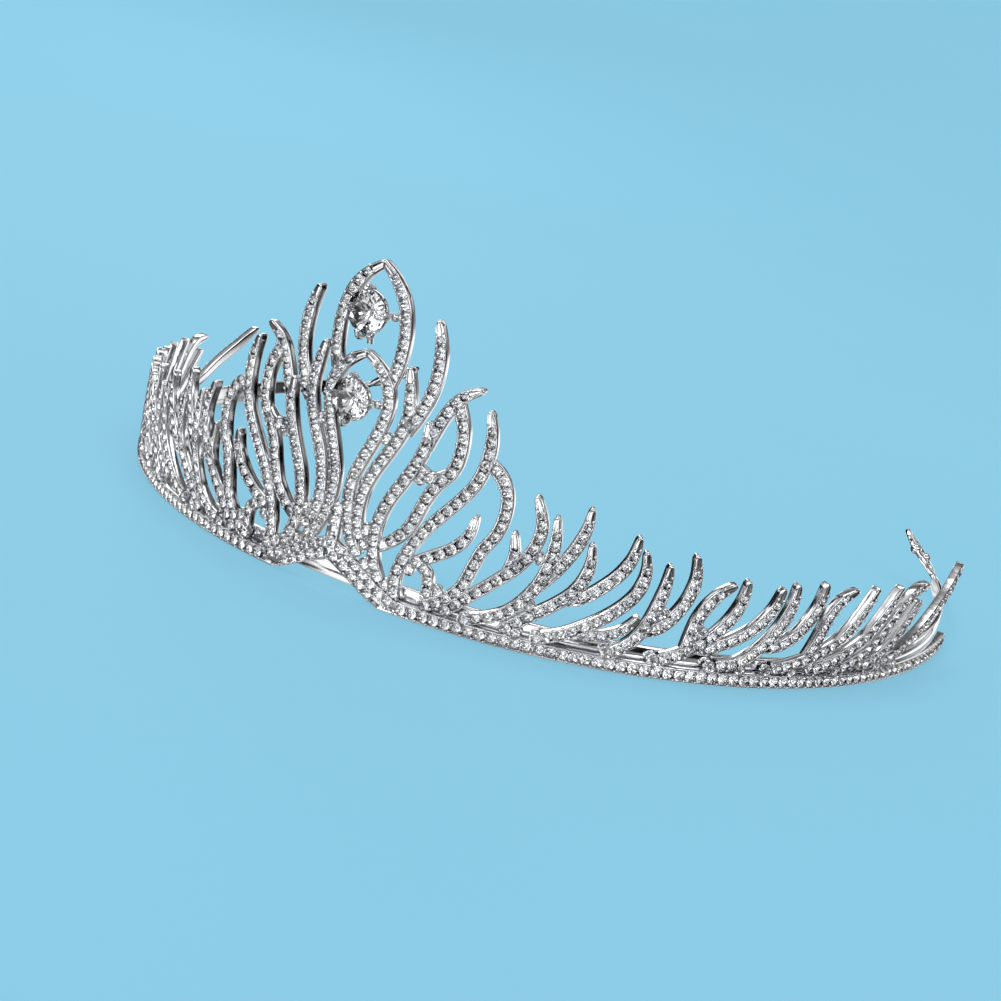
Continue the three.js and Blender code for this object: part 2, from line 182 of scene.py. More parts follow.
CREST_LOOP = arm([[-0.7, CREST_HEIGHT - 0.5], [2.7, 51.6], [4.9, 48.3], [5.9, 44.6], [6.0, 41.4],
                  [5.7, 38.4], [5.0, 35.8]])
STEM_LOOP = arm([[-0.7, STEM_HEIGHT - 0.7], [2.2, 38.2], [4.1, 36.3], [5.3, 33.6], [5.3, 30.6],
                 [4.3, 26.9], [2.8, 23.0], [1.7, 19.4], [1.6, 15.6], [2.2, 12.4], [3.3, 9.8], [4.9, 7.2]])
STEM_WEB = bar([[0.0, 14.6], [0.0, 8.7]], 2.4)
PIECES = {
    "plume_1": [
        blade([[5.0, 9.6], [4.2, 11.6], [3.8, 14.2], [4.1, 18.2], [5.3, 21.8], [7.0, 25.3], [8.5, 28.8],
               [9.1, 31.8], [8.8, 35.0], [7.9, 39.4]]),
        blade([[9.3, 29.2], [10.8, 32.2], [11.9, 35.3], [12.5, 38.8], [12.3, 43.0], [11.0, 47.6]]),
    ],
    "plume_2": [
        blade([[9.6, 4.4], [8.1, 7.4], [7.4, 10.9], [7.6, 14.2], [8.7, 17.9], [10.4, 21.4], [12.0, 24.9],
               [12.9, 28.4], [12.8, 32.0]]),
        blade([[13.0, 27.8], [14.1, 31.2], [15.4, 34.4], [17.3, 37.2], [20.3, 39.1]]),
        bar([[16.8, 36.0], [18.4, 32.4], [18.7, 28.7], [18.0, 25.3], [16.1, 22.7], [14.7, 19.8],
             [13.8, 16.9], [12.6, 14.1], [10.6, 11.7], [8.3, 10.0]]),
        bar([[17.4, 24.7], [15.0, 23.4], [12.0, 24.4]]),
    ],
    "plume_3": [
        blade([[12.6, 2.9], [12.3, 6.0], [13.0, 9.5], [14.3, 12.6], [16.0, 15.6], [18.0, 18.4], [20.2, 21.4],
               [22.1, 24.7], [23.0, 28.3], [23.0, 32.2], [22.0, 36.3]]),
        bar([[22.8, 28.6], [25.4, 27.0], [27.2, 24.2], [27.5, 21.0], [26.8, 17.6], [25.2, 14.6],
             [24.2, 11.3], [23.2, 7.9], [21.3, 5.4], [18.8, 3.6], [17.4, 2.9]]),
    ],
    "sprig": [
        blade([[14.7, 9.3], [17.5, 11.2], [20.5, 13.4], [22.5, 16.0], [23.3, 19.7]]),
        bar([[15.5, 9.7], [17.5, 8.1], [17.9, 5.7], [17.8, 4.6]], 1.8),
    ],
    "flame_1": [
        blade([[20.9, 2.9], [25.1, 7.1], [28.3, 10.4], [31.3, 13.8], [33.0, 17.3], [33.4, 20.7],
               [31.7, 25.4]]),
        blade([[29.7, 12.0], [30.2, 14.8], [29.5, 18.9]]),
    ],
    "flame_2": [
        blade([[25.7, 3.3], [28.3, 4.3], [31.1, 6.1], [33.3, 8.9], [34.9, 12.0], [35.7, 15.2], [35.9, 18.7],
               [35.4, 22.9]]),
        blade([[34.1, 10.4], [36.1, 13.0], [37.9, 16.0], [39.3, 19.1], [40.1, 22.1], [40.2, 25.4]]),
    ],
    "flame_3": [
        blade([[30.8, 2.8], [34.7, 6.3], [37.5, 8.6], [39.9, 11.1], [41.3, 13.8], [41.8, 16.6],
               [41.4, 19.9]]),
        blade([[39.5, 9.9], [42.1, 11.2], [44.5, 13.4], [46.6, 16.0], [47.9, 18.9], [48.3, 22.5]]),
    ],
    "flame_4": [
        blade([[37.1, 3.2], [39.7, 4.3], [42.3, 5.9], [45.3, 8.1], [48.1, 10.8], [49.9, 13.6], [50.5, 16.6],
               [49.8, 20.3]]),
        blade([[42.3, 4.9], [45.9, 5.5], [48.9, 7.0], [51.1, 9.7]], 1.8),
    ],
    "flame_5": [
        blade([[48.3, 3.2], [50.5, 5.1], [52.3, 7.9], [53.4, 11.6], [54.0, 15.2], [54.0, 18.9]]),
        blade([[52.1, 7.1], [54.9, 8.7], [56.9, 11.4], [58.1, 14.2], [58.5, 17.3], [57.7, 21.1]]),
    ],
    "flame_6": [
        blade([[56.0, 3.3], [58.8, 4.5], [61.4, 6.2], [64.0, 8.6], [66.0, 11.5], [67.1, 14.5],
               [67.4, 18.0]]),
        blade([[59.6, 5.4], [59.9, 8.0], [60.4, 10.7], [61.6, 13.3], [63.2, 15.4], [65.4, 17.1]]),
    ],
    "flame_7": [blade([[62.6, 5.7], [68.0, 8.3], [70.8, 10.4], [72.9, 13.3], [74.0, 17.3]])],
    "flame_8": [
        blade([[65.6, 3.3], [68.6, 3.9], [71.2, 5.6], [73.6, 8.2], [75.4, 11.1], [76.4, 14.3],
               [76.5, 18.1]]),
        blade([[72.8, 7.0], [75.6, 7.4], [78.0, 8.8], [80.2, 11.3], [81.7, 14.5], [82.2, 18.5]]),
    ],
    "flame_9": [
        blade([[75.9, 3.3], [79.7, 4.3], [83.9, 5.8], [87.5, 7.8], [90.3, 10.3], [92.5, 13.5],
               [94.6, 17.5]]),
        blade([[81.9, 4.8], [82.9, 7.2], [83.8, 9.8], [84.7, 12.9], [86.5, 15.5], [89.5, 17.3]]),
    ],
    "flame_10": [blade([[84.2, 3.3], [87.8, 4.6], [91.8, 6.6], [95.5, 9.2], [98.6, 12.9], [101.5, 17.3]])],
    "flame_11": [
        blade([[90.7, 3.3], [94.7, 5.2], [98.3, 7.8], [101.0, 10.7], [103.5, 13.7], [106.9, 16.0],
               [111.1, 16.7]]),
    ],
    "flame_12": [blade([[96.3, 3.3], [100.1, 4.8], [103.5, 7.4], [106.7, 10.5], [109.7, 13.9]])],
    "flame_13": [
        blade([[101.5, 3.3], [106.5, 4.9], [112.3, 7.2], [118.3, 10.3], [124.9, 13.6], [130.8, 17.2]]),
    ],
}

# ------------------------------------------------------------------ mesh collecting


class Mesh:
    """Collects vertices in metres and faces, and becomes one object."""

    def __init__(self):
        self.verts, self.faces, self.slots, self.count = [], [], [], 0

    def add(self, verts, faces, slot=0):
        verts = np.asarray(verts, float).reshape(-1, 3)
        self.verts.append(verts)
        self.faces += [tuple(self.count + i for i in face) for face in faces]
        self.slots += [slot] * len(faces) if isinstance(slot, int) else list(slot)
        self.count += len(verts)

    def loft(self, rings, closed=False):
        """A skin over rings of one length each, capped at both ends unless it closes on itself."""
        rings = np.asarray(rings, float)
        rows, n = rings.shape[:2]
        faces = []
        for r in range(rows if closed else rows - 1):
            a, b = r * n, ((r + 1) % rows) * n
            faces += [(a + k, a + (k + 1) % n, b + (k + 1) % n, b + k) for k in range(n)]
        if not closed:
            faces += [tuple(reversed(range(n))), tuple((rows - 1) * n + k for k in range(n))]
        self.add(rings, faces)

    def build(self, name, materials, node=None, slot=None, smooth=38.0):
        mesh = bpy.data.meshes.new(name)
        mesh.from_pydata(np.vstack(self.verts).tolist(), [], self.faces)
        for material in materials:
            mesh.materials.append(material)
        mesh.polygons.foreach_set("material_index", self.slots)
        mesh.update()
        if smooth:
            mesh.polygons.foreach_set("use_smooth", [True] * len(mesh.polygons))
            mesh.set_sharp_from_angle(angle=math.radians(smooth))
        mesh.validate()
        obj = bpy.data.objects.new(name, mesh)
        bpy.context.scene.collection.objects.link(obj)
        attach(obj, "root")
        if node:
            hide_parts(node)
        return obj


def sphere_parts(segments, rings):
    """The vertices and faces of a ball of radius 1."""
    verts = [(0, 0, 1)]
    for r in range(1, rings):
        polar = math.pi * r / rings
        verts += [(math.sin(polar) * math.cos(2 * math.pi * k / segments),
                   math.sin(polar) * math.sin(2 * math.pi * k / segments), math.cos(polar))
                  for k in range(segments)]
    verts.append((0, 0, -1))
    faces = [(0, 1 + k, 1 + (k + 1) % segments) for k in range(segments)]
    for r in range(rings - 2):
        a, b = 1 + r * segments, 1 + (r + 1) * segments
        faces += [(a + k, b + k, b + (k + 1) % segments, a + (k + 1) % segments) for k in range(segments)]
    last, a = len(verts) - 1, 1 + (rings - 2) * segments
    faces += [(last, a + (k + 1) % segments, a + k) for k in range(segments)]
    return np.array(verts), faces


BEAD_VERTS, BEAD_FACES = sphere_parts(8, 5)
BALL_VERTS, BALL_FACES = sphere_parts(28, 16)


def frame_at(s):
    """Axes at arc length s of the wall: along, up, out."""
    here, ahead, outer = wall(s, 0, 0), wall(s + 0.01, 0, 0), wall(s, 0, 1)
    along = (ahead - here) / np.linalg.norm(ahead - here)
    out = (outer - here) / np.linalg.norm(outer - here)
    return np.stack([along, [0, 0, 1.0], out])


# ------------------------------------------------------------------ the cast strands


def section(half, thickness, channel):
    """The outline across a strand: rounded back, straight sides, rims and a channel for stones."""
    k = min(1.0, half / (STRAND_WIDTH / 2))
    floor = thickness + 0.10 * (1 - channel) - CHANNEL * channel
    step = thickness + 0.06 * (1 - channel) - 0.62 * CHANNEL * channel
    right = [
        (half * 0.55, 0.0), (half - 0.16 * k, 0.03), (half - 0.04 * k, 0.11), (half, 0.26),
        (half, thickness - 0.24), (half - 0.05 * k, thickness - 0.09),
        (half - 0.15 * k, thickness - 0.01), (half - 0.25 * k, thickness),
        (half - 0.33 * k, thickness - 0.07 * channel), (half - 0.37 * k, step), (half - 0.47 * k, floor),
    ]
    return np.array(right + [(0.0, floor)] + [(-u, v) for u, v in reversed(right)])


def width_at(strand, at, length):
    """The width of a strand at a distance from its root."""
    full, root, tip = strand["width"], strand["root"], strand["tip"]
    from_root = root + (full - root) * min(max(at - 0.8, 0.0) / 6.0, 1.0)
    from_tip = tip + (full - tip) * math.sqrt(min(max(length - at, 0.0) / TIP_LENGTH, 1.0))
    return min(from_root, from_tip)


def rounded_end(last, way, shift):
    """Rings that close a strand with a rounded end, in place of its last ring."""
    centre, across, half, thickness, _ = last
    return [(centre + way * (turn * half * 0.9 + shift), across, half * math.sqrt(1 - turn**2),
             thickness - 0.35 * turn**2, 0.0) for turn in ROUND_END]


def strand_rings(strand, root_low=0.0):
    """The rings of a strand's skin. Where root_low is set, its root lies that much lower in front."""
    line, run = spline(strand["points"], 0.5)
    length = run[-1]
    tangent = np.gradient(line, run, axis=0)
    tangent /= np.linalg.norm(tangent, axis=1)[:, None]
    rings = []
    for at, centre, way in zip(run, line, tangent):
        channel = 1.0
        if is_blade(strand):
            channel = min(max((length - at - PLAIN_TIP) / CHANNEL_RAMP, 0.0), 1.0)
        elif is_arm(strand):
            channel = min(max((at - PLAIN_APEX) / CHANNEL_RAMP, 0.0), 1.0)
        thickness = STRAND_THICKNESS - root_low * max(0.0, 1 - at / 1.4)
        across = np.array([-way[1], way[0]])
        rings.append((centre, across, width_at(strand, at, length) / 2, thickness, channel))
    if is_arm(strand):
        rings = rounded_end(rings[2], -tangent[2], 0.0)[::-1] + rings[3:]
    if is_blade(strand):
        rings = rings[:-1] + rounded_end(rings[-1], tangent[-1], -0.25)
    skin = []
    for centre, across, half, thickness, channel in rings:
        outline = section(half, thickness, channel)
        spot = centre[None, :] + outline[:, :1] * across[None, :]
        skin.append(wall(spot[:, 0], spot[:, 1], outline[:, 1]))
    return np.array(skin)


# ------------------------------------------------------------------ stones


def brilliant(radius, crown, depth, table):
    """A round brilliant with table, stars, bezels, upper girdle facets, girdle, mains and lower halves."""
    def ring(count, at, level, shift=0.0):
        angles = (np.arange(count) + shift) * 2 * math.pi / count
        return [(at * math.cos(a), at * math.sin(a), level) for a in angles]

    girdle = 0.09 * radius
    verts = (ring(8, radius * table, crown) + ring(8, radius * 0.80, crown * 0.52, 0.5)
             + ring(16, radius, girdle / 2) + ring(16, radius, -girdle / 2)
             + ring(8, radius * 0.24, -depth * 0.80, 0.5) + [(0, 0, -depth)])
    t, m, g, u, p, culet = 0, 8, 16, 32, 48, 56
    faces, slots = [tuple(range(8))], [0]
    for k in range(8):
        n, b = (k + 1) % 8, (k - 1) % 8
        e, f, q = 2 * k, 2 * k + 1, (2 * k + 2) % 16
        faces += [(t + k, m + k, t + n), (t + k, m + b, g + e, m + k),
                  (m + k, g + e, g + f), (m + k, g + f, g + q),
                  (g + e, u + e, u + f, g + f), (g + f, u + f, u + q, g + q)]
        slots += [0] * 6
        faces += [(u + e, p + k, u + f), (u + f, p + k, u + q), (u + e, p + b, culet, p + k)]
        slots += [1] * 3
    return np.array(verts), faces, slots


SMALL = brilliant(SMALL_STONE, 0.40, 0.74, 0.52)
rng = random.Random(7)
placed = []        # the [s, h] of every small stone
bead_spots = []    # the [s, h] of every bead prong
rows = {}          # node: its rows of small stones


def clear_of(spot, others, gap):
    """Whether a spot is further than the gap from all the others."""
    return all((spot[0] - o[0])**2 + (spot[1] - o[1])**2 > gap**2
               for o in others if abs(o[0] - spot[0]) <= gap)


def point_at(line, run, at):
    return np.array([np.interp(at, run, line[:, 0]), np.interp(at, run, line[:, 1])])


def lay_row(node, line, run, start, end, half, even=False):
    """Stones along a line, each as soon after the last one as its neighbours leave room.

    An even row spreads its stones so that the last one sits at the end.
    """
    at, row = start, []
    while at <= end + 0.01:
        spot = point_at(line, run, at)
        if clear_of(spot, placed, STONE_GAP):
            way = point_at(line, run, at + 0.2) - point_at(line, run, at - 0.2)
            way /= max(np.linalg.norm(way), 1e-6)
            size = min(1.0, (half(at) - 0.10) / SMALL_STONE)
            row.append({"spot": spot, "way": way, "at": at, "half": half(at), "size": size})
            placed.append(tuple(spot))
            left = end - at
            at += left / max(1, math.floor(left / LEAST_PITCH)) if even and left > 0 else STONE_PITCH
        else:
            at += 0.12
    rows.setdefault(node, []).append(row)


def stone_mesh(row_list):
    """The small stones of some rows, each turned and tilted a little."""
    mesh = Mesh()
    verts, faces, slots = SMALL
    for row in row_list:
        for stone in row:
            axes = frame_at(stone["spot"][0])
            spin = rng.uniform(0, math.pi / 4)
            pitch = math.radians(rng.uniform(-STONE_LEAN, STONE_LEAN))
            roll = math.radians(rng.uniform(-STONE_LEAN, STONE_LEAN))
            lean = (Matrix.Rotation(pitch, 3, "X") @ Matrix.Rotation(roll, 3, "Y")
                    @ Matrix.Rotation(spin, 3, "Z"))
            local = verts @ np.array(lean).T
            size = stone["size"]
            centre = wall(stone["spot"][0], stone["spot"][1], STRAND_THICKNESS - 0.10)
            mesh.add(centre + (local * size * MM) @ axes, faces, slots)
    return mesh


def add_beads(mesh, row_list):
    """Small bead prongs on both rims, between each stone and the next and at the ends of a row."""
    for row in row_list:
        spots = []
        for a, b in zip(row, row[1:]):
            if b["at"] - a["at"] < BEAD_REACH:
                spots.append(((a["spot"] + b["spot"]) / 2, a["way"] + b["way"], min(a["half"], b["half"])))
        if row and not row[0].get("boss"):
            first, last = row[0], row[-1]
            spots.append((first["spot"] - first["way"] * BEAD_END, first["way"], first["half"]))
            spots.append((last["spot"] + last["way"] * BEAD_END, last["way"], last["half"] * 0.9))
        for centre, way, half in spots:
            way = way / np.linalg.norm(way)
            across = np.array([-way[1], way[0]])
            for side in (-1, 1):
                spot = centre + across * side * (half - BEAD_INSET)
                if clear_of(spot, placed, BEAD_TO_STONE) and clear_of(spot, bead_spots, BEAD_TO_BEAD):
                    bead_spots.append(tuple(spot))
                    middle = wall(spot[0], spot[1], STRAND_THICKNESS + 0.04)
                    mesh.add(middle + (BEAD_VERTS * BEAD * MM) @ frame_at(spot[0]), BEAD_FACES)


# ------------------------------------------------------------------ materials


def node_material(name):
    """A new material with its nodes, links, shader and texture coordinates."""
    material = bpy.data.materials.new(name)
    material.use_nodes = True
    nodes, links = material.node_tree.nodes, material.node_tree.links
    shader = nodes["Principled BSDF"]
    coords = nodes.new("ShaderNodeTexCoord")
    return material, nodes, links, shader, coords


def noise(nodes, links, coords, scale, detail=3.0, roughness=0.5):
    """Noise over the object's own coordinates."""
    texture = nodes.new("ShaderNodeTexNoise")
    texture.inputs["Scale"].default_value = scale
    texture.inputs["Detail"].default_value = detail
    texture.inputs["Roughness"].default_value = roughness
    links.new(coords.outputs["Object"], texture.inputs["Vector"])
    return texture


def ramp(nodes, links, source, stops):
    """A colour ramp with (position, colour) stops."""
    node = nodes.new("ShaderNodeValToRGB")
    while len(node.color_ramp.elements) < len(stops):
        node.color_ramp.elements.new(0.5)
    for element, (at, colour) in zip(node.color_ramp.elements, stops):
        element.position, element.color = at, (*colour, 1)
    links.new(source, node.inputs["Fac"])
    return node


def metal(name, light, dark, gloss, wave):
    """Polished rhodium-look plating: slight tone drift, uneven polish, and a soft casting wave."""
    material, nodes, links, shader, coords = node_material(name)
    shader.inputs["Metallic"].default_value = 1.0
    tone = noise(nodes, links, coords, 160.0, 4.0)
    colours = ramp(nodes, links, tone.outputs["Fac"], [(0.30, dark), (0.62, light)])
    links.new(colours.outputs["Color"], shader.inputs["Base Color"])
    polish = noise(nodes, links, coords, 900.0, 5.0, 0.6)
    spread = nodes.new("ShaderNodeMapRange")
    spread.inputs["From Min"].default_value, spread.inputs["From Max"].default_value = 0.3, 0.7
    spread.inputs["To Min"].default_value, spread.inputs["To Max"].default_value = gloss
    links.new(polish.outputs["Fac"], spread.inputs["Value"])
    links.new(spread.outputs["Result"], shader.inputs["Roughness"])
    ripple = noise(nodes, links, coords, 700.0, 3.0)
    bump = nodes.new("ShaderNodeBump")
    bump.inputs["Strength"].default_value = wave
    bump.inputs["Distance"].default_value = 0.00008
    links.new(ripple.outputs["Fac"], bump.inputs["Height"])
    links.new(bump.outputs["Normal"], shader.inputs["Normal"])
    return material


def crystal(name, warm, cool):
    """Clear cut glass with a faint drift between a warm and a cool white."""
    material, nodes, links, shader, coords = node_material(name)
    shader.inputs["Transmission Weight"].default_value = 1.0
    shader.inputs["IOR"].default_value = 1.58
    tint = noise(nodes, links, coords, 260.0, 2.0)
    colours = ramp(nodes, links, tint.outputs["Fac"], [(0.35, warm), (0.65, cool)])
    links.new(colours.outputs["Color"], shader.inputs["Base Color"])
    wipe = noise(nodes, links, coords, 1500.0, 2.0)
    spread = nodes.new("ShaderNodeMapRange")
    spread.inputs["To Min"].default_value, spread.inputs["To Max"].default_value = 0.0, 0.03
    links.new(wipe.outputs["Fac"], spread.inputs["Value"])
    links.new(spread.outputs["Result"], shader.inputs["Roughness"])
    return material


PLATED = metal("plated_metal", (0.86, 0.87, 0.89), (0.74, 0.75, 0.77), (0.05, 0.13), 0.10)
CAST = metal("cast_metal", (0.88, 0.89, 0.91), (0.72, 0.73, 0.76), (0.09, 0.22), 0.22)
CLEAR = crystal("clear_crystal", (1.0, 0.985, 0.97), (0.96, 0.985, 1.0))
FOIL = metal("stone_foil", (0.96, 0.97, 0.98), (0.84, 0.86, 0.90), (0.02, 0.07), 0.02)

# ------------------------------------------------------------------ frieze: plan the stones, then build


def both(strand):
    return [strand, mirrored(strand)]


def plan(node, strand):
    """One even row of stones along a strand."""
    line, run = spline(strand["points"], 0.25)
    start = APEX_MARGIN if is_arm(strand) else END_MARGIN
    stop = run[-1] - (TIP_MARGIN if is_blade(strand) else END_MARGIN)
    lay_row(node, line, run, start, stop, lambda at: width_at(strand, at, run[-1]) / 2, even=True)


# The arch as (distance from the middle, height of its lower edge, height of its upper edge).
ARCH_FLANK = [(0.0, ARCH_UNDERSIDE, ARCH_TOP), (3.4, 3.4, 7.6), (7.0, 1.5, 5.4), (10.4, 0.0, 3.5),
              (ARCH_FOOT, 0.0, RAIL_HEIGHT)]


def arch_edge(s, which):
    """The height of the arch's lower edge (1) or upper edge (2)."""
    return float(np.interp(abs(s), [row[0] for row in ARCH_FLANK], [row[which] for row in ARCH_FLANK]))


SIDES = (("right", 1.0), ("left", -1.0))
for side, hand in SIDES:
    level = np.linspace(ARCH_FOOT, RAIL_END, 500)
    line = np.stack([hand * level, np.full_like(level, RAIL_HEIGHT / 2)], axis=1)
    lay_row(f"base_rail_{side}", line, level - ARCH_FOOT, 0.9, RAIL_END - ARCH_FOOT - 0.8,
            lambda at: RAIL_HEIGHT / 2 + 0.02)
for _, hand in SIDES:
    for drop, first, last in ((0.98, 0.0, 12.6), (2.86, 0.95, 9.4)):
        level = np.linspace(first, last, 160)
        heights = [arch_edge(s, 2) - drop for s in level]
        line = np.stack([hand * level, heights], axis=1)
        run = np.concatenate([[0], np.cumsum(np.linalg.norm(np.diff(line, axis=0), axis=1))])
        lay_row("center_arch", line, run, 0.0 if hand > 0 else 0.9, run[-1], lambda at: 0.96)
for strand in both(STEM_LOOP):
    plan("crest_stem", strand)
plan("crest_stem", STEM_WEB)
for strand in both(CREST_LOOP):
    plan("crest_loop", strand)
for side, hand in SIDES:
    for name, strands in PIECES.items():
        for strand in strands:
            plan(f"{name}_{side}", strand if hand > 0 else mirrored(strand))


def fill_crotches():
    """One stone on a small boss in each narrow fork between two strands, laid alike on both sides."""
    names, lines = [], []
    for name, strands in [("crest_stem", [STEM_LOOP]), ("crest_loop", [CREST_LOOP]), *PIECES.items()]:
        for strand in strands:
            line, run = spline(strand["points"], 0.4)
            names.append(name)
            lines.append(line[run < run[-1] - (7.0 if is_blade(strand) else 0.0)])
    level = np.arange(ARCH_FOOT, 112.0, 0.4)
    names.append("base_rail")
    lines.append(np.stack([level, np.full_like(level, RAIL_HEIGHT / 2)], axis=1))
    level = np.arange(0.0, ARCH_FOOT, 0.4)
    names.append("center_arch")
    lines.append(np.stack([level, [arch_edge(s, 2) - 1.0 for s in level]], axis=1))
    grid = np.stack(np.meshgrid(np.arange(1.0, 112.0, 0.4), np.arange(2.4, 42.0, 0.4)), axis=-1)
    grid = grid.reshape(-1, 2)
    # For each line and grid point: the distance, and the way to the nearest point of the line.
    gaps, ways = [], []
    for line in lines:
        apart = np.hypot(grid[:, :1] - line[:, 0], grid[:, 1:] - line[:, 1])
        gaps.append(apart.min(axis=1))
        ways.append(line[apart.argmin(axis=1)] - grid)
    gaps, ways = np.array(gaps), np.array(ways)
    order = np.argsort(gaps, axis=0)[:2]
    near_two = np.take_along_axis(gaps, order, axis=0)
    stones = [spot for spot in placed if spot[0] > -3.0]
    for k in np.argsort(near_two.sum(axis=0)):
        if near_two[:, k].sum() > FORK_SUM:
            break
        s, h = grid[k]
        is_between = np.dot(ways[order[0, k], k], ways[order[1, k], k]) < 0
        if not is_between or near_two[1, k] > FORK_SECOND or not clear_of((s, h), stones, FORK_TO_STONE):
            continue
        stones.append((s, h))
        name = names[order[0, k]]
        for side, hand in SIDES:
            node = name if name in ("crest_stem", "crest_loop", "center_arch") else f"{name}_{side}"
            spot = np.array([hand * s, h])
            placed.append(tuple(spot))
            rows.setdefault(node, []).append([{
                "spot": spot, "way": np.array([1.0, 0.0]), "at": 0.0, "half": 1.0, "size": FORK_SIZE,
                "boss": True}])


fill_crotches()


def add_bosses(mesh, row_list):
    """The small bosses under the stones in the forks."""
    for row in row_list:
        for stone in row:
            if not stone.get("boss"):
                continue
            s, h = stone["spot"]
            angles = np.linspace(0, 2 * math.pi, 18, endpoint=False)
            mesh.loft([wall(s + r * np.cos(angles), h + r * np.sin(angles), v) for r, v in BOSS])


def finish_pave(node, mesh):
    """Adds the bosses and beads of a node to its casting, and builds the casting and its stones."""
    add_bosses(mesh, rows.get(node, []))
    add_beads(mesh, rows.get(node, []))
    mesh.build(f"{node}_casting", [CAST], node, "stone_set_metal")
    if any(rows.get(node, [])):
        stone_mesh(rows[node]).build(f"{node}_stones", [CLEAR, FOIL], slot="crystal", smooth=0)


for side, hand in SIDES:
    mesh = Mesh()
    rings = []
    for s in np.arange(ARCH_FOOT, RAIL_END + 0.01, 0.8):
        outline = section(RAIL_HEIGHT / 2, STRAND_THICKNESS, 1.0)
        rings.append(wall(hand * s, RAIL_HEIGHT / 2 + hand * outline[:, 0], outline[:, 1]))
    for turn in (0.5, 0.8, 0.95):
        outline = section(RAIL_HEIGHT / 2 * math.sqrt(1 - turn**2), STRAND_THICKNESS, 0.0)
        rings.append(wall(hand * (RAIL_END + turn * 0.8), RAIL_HEIGHT / 2 + hand * outline[:, 0],
                          outline[:, 1]))
    mesh.loft(rings)
    finish_pave(f"base_rail_{side}", mesh)

mesh = Mesh()
rings = []
for s in np.concatenate([np.linspace(-ARCH_FOOT, 0, 40)[:-1], np.linspace(0, ARCH_FOOT, 40)]):
    low, high = arch_edge(s, 1), arch_edge(s, 2)
    outline = section((high - low) / 2, STRAND_THICKNESS, 1.0)
    rings.append(wall(s, (low + high) / 2 + outline[:, 0], outline[:, 1]))
mesh.loft(rings)
finish_pave("center_arch", mesh)

for node, loop in (("crest_stem", STEM_LOOP), ("crest_loop", CREST_LOOP)):
    mesh = Mesh()
    for strand in both(loop):
        mesh.loft(strand_rings(strand))
    if loop is STEM_LOOP:
        mesh.loft(strand_rings(STEM_WEB))
    finish_pave(node, mesh)

for side, hand in SIDES:
    for name, strands in PIECES.items():
        mesh = Mesh()
        for index, strand in enumerate(strands):
            strand = strand if hand > 0 else mirrored(strand)
            mesh.loft(strand_rings(strand, root_low=0.35 if index else 0.1))
        finish_pave(f"{name}_{side}", mesh)

# ------------------------------------------------------------------ headband and eyelets

mesh = Mesh()
rings = []
half_h, half_t, r = BAND_HEIGHT / 2, BAND_THICKNESS / 2, BAND_EDGE
band_outline = []
for cx, cy, start in ((half_h - r, half_t - r, 0), (-half_h + r, half_t - r, 90),
                      (-half_h + r, -half_t + r, 180), (half_h - r, -half_t + r, 270)):
    band_outline += [(cx + r * math.cos(math.radians(start + a)), cy + r * math.sin(math.radians(start + a)))
                     for a in (0, 30, 60, 90)]
band_outline = np.array(band_outline)
middle = BAND_FRONT - half_t
for s in np.linspace(-BAND_END, BAND_END, 240):
    end = max(0.0, abs(s) - (BAND_END - BAND_TAPER)) / BAND_TAPER
    squeeze = 1.0 - 0.35 * end**2
    rings.append(wall(s, BAND_LIFT + half_h + band_outline[:, 0] * squeeze, middle + band_outline[:, 1]))
mesh.loft(rings)
mesh.build("headband_strip", [PLATED], "headband", "plated_metal")


def turned(points, hand):
    """Points of the eyelet's own frame, in mm, moved to the end of the band."""
    seat = wall(hand * (BAND_END + EYELET_STANDOFF), BAND_LIFT + half_h, middle)
    turn = (Matrix.Rotation(math.radians(hand * EYELET_TURN), 3, "Z")
            @ Matrix.Rotation(math.radians(EYELET_RISE), 3, "X")
            @ Matrix.Rotation(math.radians(hand * EYELET_TWIST), 3, "Y"))
    return seat + (np.asarray(points, float) * MM) @ np.array(turn).T


def pointed(half_width, low, high, t):
    """A point on one flank of the eyelet's outline, from its lower point (t = 0) to its upper point (1)."""
    return (4 * half_width * t * (1 - t), low * (1 - t)**2 + (low + high) * t * (1 - t) + high * t**2)


